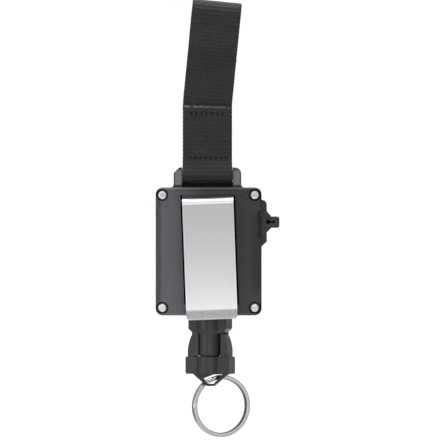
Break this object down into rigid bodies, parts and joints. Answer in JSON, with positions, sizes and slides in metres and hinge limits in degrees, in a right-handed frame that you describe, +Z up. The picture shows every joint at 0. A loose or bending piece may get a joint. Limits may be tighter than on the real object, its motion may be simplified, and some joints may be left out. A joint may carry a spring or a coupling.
{
  "type": "retractable tool tether",
  "caption": "Palm-size retractable tool tether: case with spring drum, side lock and belt clip, webbing hanging strap, quick-connect fitting and split ring on the line.",
  "frame": {"origin": "top of the inside of the strap's loop, where the bar or belt that it hangs from goes, straight above the case's centre", "axes": "+Z up along the hanging strap; -Y is the belt clip side; +X is the thumb lock side"},
  "size_m": [0.0631, 0.029, 0.2244],
  "materials": {
    "case_plastic": "moulded dark grey, fine texture",
    "lock_plastic": "moulded dark grey",
    "fitting_plastic": "moulded dark grey, slight sheen",
    "drum_plastic": "natural acetal",
    "clip_steel": "satin stainless",
    "screw_steel": "bright zinc plated",
    "spring_steel": "blued spring steel",
    "pin_steel": "ground",
    "brass": "turned",
    "ring_nickel": "bright nickel plate",
    "webbing": "woven nylon webbing",
    "thread": "bonded nylon thread",
    "hook_loop": "hook and loop tape",
    "line_cord": "braided, coated"
  },
  "bodies": {
    "strap": {"strap_webbing": "webbing", "strap_stitching": "thread", "loop_patch": "hook_loop", "hook_patch": "hook_loop"},
    "case": {"rear_cover": "case_plastic", "front_cover": "case_plastic", "case_screws": "screw_steel", "threaded_inserts": "brass", "belt_clip": "clip_steel", "clip_rivets": "clip_steel", "spindle": "pin_steel", "thrust_washer": "drum_plastic", "power_spring": "spring_steel", "line_lead": "line_cord", "outlet_grommet": "pin_steel", "lock_detent_spring": "spring_steel", "pawl_pin": "pin_steel"},
    "drum": {"line_drum": "drum_plastic", "drum_bushing": "brass", "spring_cover": "drum_plastic", "line_winding": "line_cord"},
    "lock": {"lock_slider": "lock_plastic", "lock_retainer": "lock_plastic"},
    "pawl": {"lock_pawl": "pin_steel"},
    "line_end": {"line_ferrule": "pin_steel"},
    "socket": {"connector_cap": "fitting_plastic", "connector_socket": "fitting_plastic"},
    "plug": {"connector_plug": "fitting_plastic"},
    "arm_left": {"latch_arm_left": "fitting_plastic"},
    "arm_right": {"latch_arm_right": "fitting_plastic"},
    "ring": {"split_ring": "ring_nickel"}
  },
  "joints": [
    {"name": "strap_swing", "type": "hinge", "parent": "strap", "child": "case", "pos_m": [0, 0, -0.0866], "axis": [1, 0, 0], "range_deg": [-60, 60]},
    {"name": "line_pull", "type": "slide", "parent": "case", "child": "line_end", "axis": [0, 0, -1], "range_m": [0, 1.067], "stiffness_N_per_m": 2.2, "springref_m": -0.9, "deforming": ["line_lead"]},
    {"name": "drum_spin", "type": "hinge", "parent": "case", "child": "drum", "pos_m": [0, 0.003, -0.1226], "axis": [0, -1, 0], "range_deg": [-1, 4081], "deforming": ["power_spring"]},
    {"name": "lock_slide", "type": "slide", "parent": "case", "child": "lock", "axis": [0, 0, -1], "range_m": [0, 0.004]},
    {"name": "pawl_swing", "type": "hinge", "parent": "case", "child": "pawl", "pos_m": [0.0224, -0.0012, -0.1316], "axis": [0, -1, 0], "range_deg": [0, 10.01]},
    {"name": "socket_swivel", "type": "hinge", "parent": "line_end", "child": "socket", "pos_m": [0.0008, 0.003, -0.1646], "axis": [0, 0, 1], "continuous": true},
    {"name": "plug_release", "type": "slide", "parent": "socket", "child": "plug", "axis": [0, 0, -1], "range_m": [0, 0.014]},
    {"name": "arm_left_squeeze", "type": "hinge", "parent": "plug", "child": "arm_left", "pos_m": [-0.00754, 0.00637, -0.1795], "axis": [0.3746, 0.9272, 0], "range_deg": [0, 4], "stiffness_Nm_per_rad": 0.05},
    {"name": "arm_right_squeeze", "type": "hinge", "parent": "plug", "child": "arm_right", "pos_m": [0.00915, -0.00037, -0.1795], "axis": [-0.3746, -0.9272, 0], "range_deg": [0, 4.01]},
    {"name": "ring_swing", "type": "hinge", "parent": "plug", "child": "ring", "pos_m": [0.00108, 0.00289, -0.1916], "axis": [0, 0, 1], "range_deg": [-5, 60]}
  ],
  "couplings": [
    {"joint": "drum_spin", "follows": "line_pull", "rad_per_m": 66.738},
    {"joint": "pawl_swing", "follows": "lock_slide", "rad_per_m": 43.633},
    {"joint": "arm_right_squeeze", "follows": "arm_left_squeeze", "ratio": 1}
  ]
}
